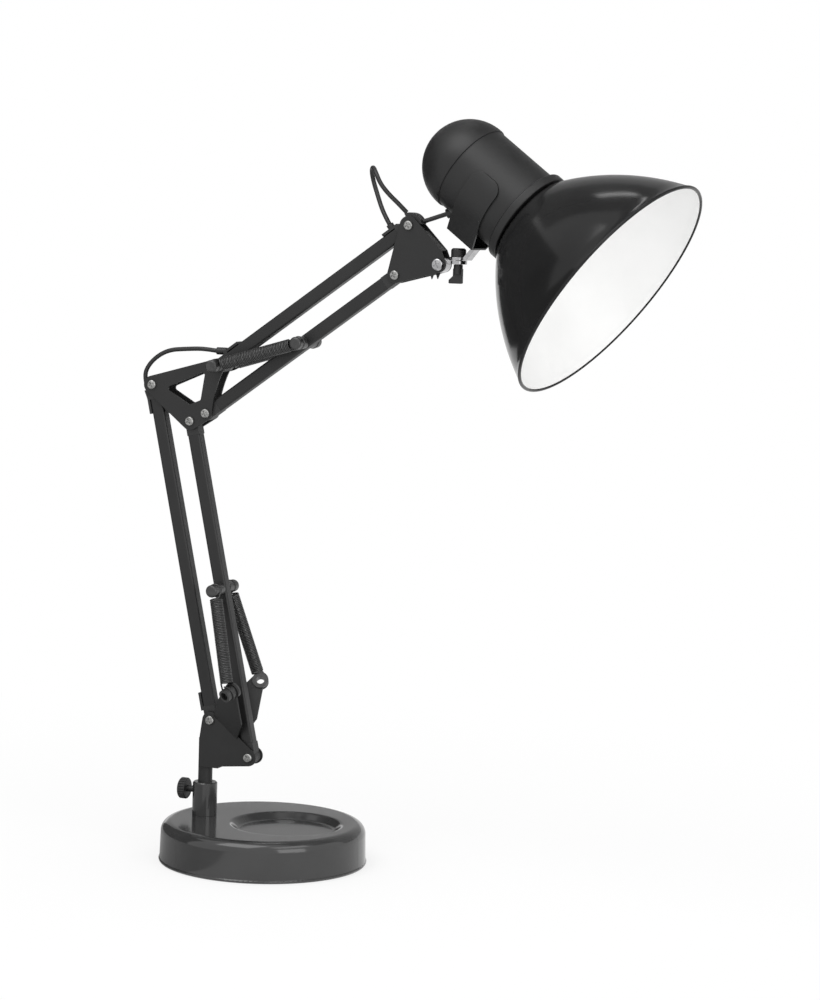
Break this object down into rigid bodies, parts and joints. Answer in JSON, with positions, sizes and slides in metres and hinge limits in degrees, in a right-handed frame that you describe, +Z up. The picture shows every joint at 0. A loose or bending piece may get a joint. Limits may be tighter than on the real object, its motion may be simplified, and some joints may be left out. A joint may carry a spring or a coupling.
{
  "type": "adjustable desk lamp",
  "caption": "Adjustable desk lamp: weighted round base, swivelling post, spring-balanced parallelogram arms of square tube, and a tilting bowl shade on a cylindrical lampholder housing.",
  "frame": {"origin": "centre of the round base, on the table", "axes": "+Z up, +X the way the arm reaches to the head, +Y away from the side that the picture shows"},
  "size_m": [0.4332, 0.1905, 0.5694],
  "materials": {
    "black_enamel": "glossy stoved enamel",
    "iron": "raw casting",
    "foam": "closed-cell foam",
    "zinc_steel": "bright zinc plate",
    "black_plastic": "moulded, satin",
    "black_steel": "black finished spring steel",
    "chrome": "polished plate",
    "flex_cover": "smooth flex sheath",
    "brass": "drawn"
  },
  "bodies": {
    "base": {"base_cover": "black_enamel", "base_ballast": "iron", "base_pad": "foam", "post_socket": "black_enamel", "post_nut": "zinc_steel", "cable_gland": "black_plastic"},
    "thumb_screw": {"thumb_screw": "black_plastic"},
    "bracket": {"swivel_spigot": "black_enamel", "lower_bracket": "black_enamel", "ear_bushes": "black_steel", "lower_pivot_screws": "zinc_steel", "lower_pivot_nuts": "zinc_steel", "lower_spring_near": "black_steel", "lower_spring_far": "black_steel"},
    "lower_rear_bar": {"lower_rear_tube": "black_enamel", "lower_rear_foot": "black_plastic", "lower_rear_head": "black_plastic", "lower_rear_flex": "flex_cover"},
    "lower_front_bar": {"lower_front_tube": "black_enamel", "lower_front_foot": "black_plastic", "lower_front_head": "black_plastic", "lower_spring_pin": "black_steel"},
    "elbow": {"elbow_plate_near": "black_enamel", "elbow_plate_far": "black_enamel", "elbow_screws": "zinc_steel", "elbow_nuts": "zinc_steel", "elbow_spring_axle": "black_steel", "upper_spring_near": "black_steel", "upper_spring_far": "black_steel", "elbow_flex_upper": "flex_cover", "elbow_flex_lower": "flex_cover"},
    "upper_top_bar": {"upper_top_tube": "black_enamel", "upper_top_foot": "black_plastic", "upper_top_head": "black_plastic", "upper_top_flex": "flex_cover"},
    "upper_low_bar": {"upper_low_tube": "black_enamel", "upper_low_foot": "black_plastic", "upper_low_head": "black_plastic", "upper_spring_pin": "black_steel"},
    "head_bracket": {"head_bracket": "black_enamel", "head_pivot_screws": "zinc_steel", "head_nuts": "zinc_steel", "tilt_screw": "chrome", "flex_guide": "black_plastic", "head_flex_loop": "flex_cover", "flex_tail_lower": "flex_cover"},
    "knuckle": {"knuckle_link": "chrome"},
    "wing_screw": {"wing_screw": "black_plastic"},
    "head": {"cap_nut": "black_plastic", "pan_arm": "chrome", "saddle_strap": "black_enamel", "head_tube": "black_enamel", "head_cap": "black_enamel", "collar_ring": "black_enamel", "shade": "black_enamel", "lampholder": "black_plastic", "lamp_contacts": "brass", "shade_ring": "zinc_steel", "flex_grommet": "flex_cover", "flex_tail_upper": "flex_cover"}
  },
  "joints": [
    {"name": "base_swivel", "type": "hinge", "parent": "base", "child": "bracket", "pos_m": [-0.05, 0, 0.057], "axis": [0, 0, 1], "range_deg": [-170, 170]},
    {"name": "thumb_turn", "type": "hinge", "parent": "base", "child": "thumb_screw", "pos_m": [-0.065, 0, 0.05], "axis": [-1, 0, 0], "range_deg": [-180, 180]},
    {"name": "lower_arm", "type": "hinge", "parent": "bracket", "child": "lower_rear_bar", "pos_m": [-0.044, 0, 0.1065], "axis": [0, 1, 0], "range_deg": [-18, 50]},
    {"name": "lower_front", "type": "hinge", "parent": "bracket", "child": "lower_front_bar", "pos_m": [-0.0115, 0, 0.0801], "axis": [0, 1, 0], "range_deg": [-18, 50], "deforming": ["lower_spring_near", "lower_spring_far"]},
    {"name": "elbow_level", "type": "hinge", "parent": "lower_rear_bar", "child": "elbow", "pos_m": [-0.09937, 0, 0.36258], "axis": [0, 1, 0], "range_deg": [-50, 18], "deforming": ["elbow_flex_lower"]},
    {"name": "upper_arm", "type": "hinge", "parent": "elbow", "child": "upper_top_bar", "pos_m": [-0.04417, 0, 0.37978], "axis": [0, 1, 0], "range_deg": [-18, 38], "deforming": ["elbow_flex_upper"]},
    {"name": "upper_low", "type": "hinge", "parent": "elbow", "child": "upper_low_bar", "pos_m": [-0.05397, 0, 0.34278], "axis": [0, 1, 0], "range_deg": [-18, 38], "deforming": ["upper_spring_near", "upper_spring_far"]},
    {"name": "head_level", "type": "hinge", "parent": "upper_top_bar", "child": "head_bracket", "pos_m": [0.10654, 0, 0.49049], "axis": [0, 1, 0], "range_deg": [-38, 18], "deforming": ["head_flex_loop"]},
    {"name": "head_tilt", "type": "hinge", "parent": "head_bracket", "child": "knuckle", "pos_m": [0.13054, 0, 0.46249], "axis": [0, 1, 0], "range_deg": [-20, 50], "deforming": ["flex_tail_lower"]},
    {"name": "head_pan", "type": "hinge", "parent": "knuckle", "child": "head", "pos_m": [0.14404, 0, 0.46599], "axis": [0, 0, 1], "range_deg": [-39, 51], "deforming": ["flex_tail_upper"]},
    {"name": "wing_turn", "type": "hinge", "parent": "knuckle", "child": "wing_screw", "pos_m": [0.14404, 0, 0.46599], "axis": [0, 0, 1], "range_deg": [-180, 180]}
  ],
  "couplings": [
    {"joint": "lower_front", "follows": "lower_arm", "ratio": 1},
    {"joint": "elbow_level", "follows": "lower_arm", "ratio": -1},
    {"joint": "upper_low", "follows": "upper_arm", "ratio": 1},
    {"joint": "head_level", "follows": "upper_arm", "ratio": -1}
  ]
}
